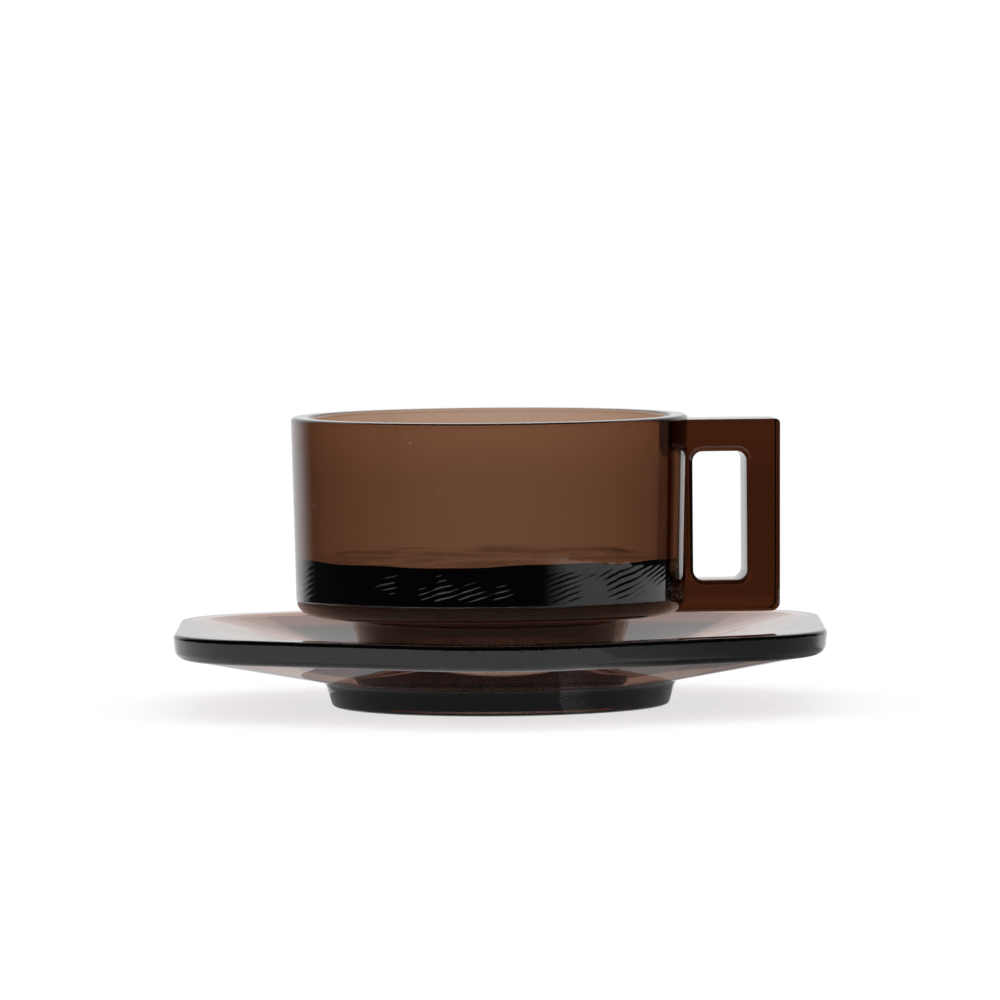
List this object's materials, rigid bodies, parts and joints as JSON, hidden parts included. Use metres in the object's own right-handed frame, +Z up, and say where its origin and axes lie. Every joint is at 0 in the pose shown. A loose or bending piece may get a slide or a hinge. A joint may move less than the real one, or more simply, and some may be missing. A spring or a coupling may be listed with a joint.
{
  "type": "glass tea cup and saucer",
  "caption": "Low smoked brown pressed glass tea cup with a square-cut loop handle, standing on a wide six-sided saucer of the same glass; empty.",
  "frame": {"origin": "the middle of the saucer's foot ring, on the table", "axes": "+Z up, +X along the cup's handle, which points away from the bowl"},
  "size_m": [0.1462, 0.1544, 0.0639],
  "materials": {
    "saucer_glass": "polished",
    "cup_glass": "polished"
  },
  "bodies": {
    "root": {"saucer": "saucer_glass", "cup": "cup_glass"}
  },
  "joints": []
}
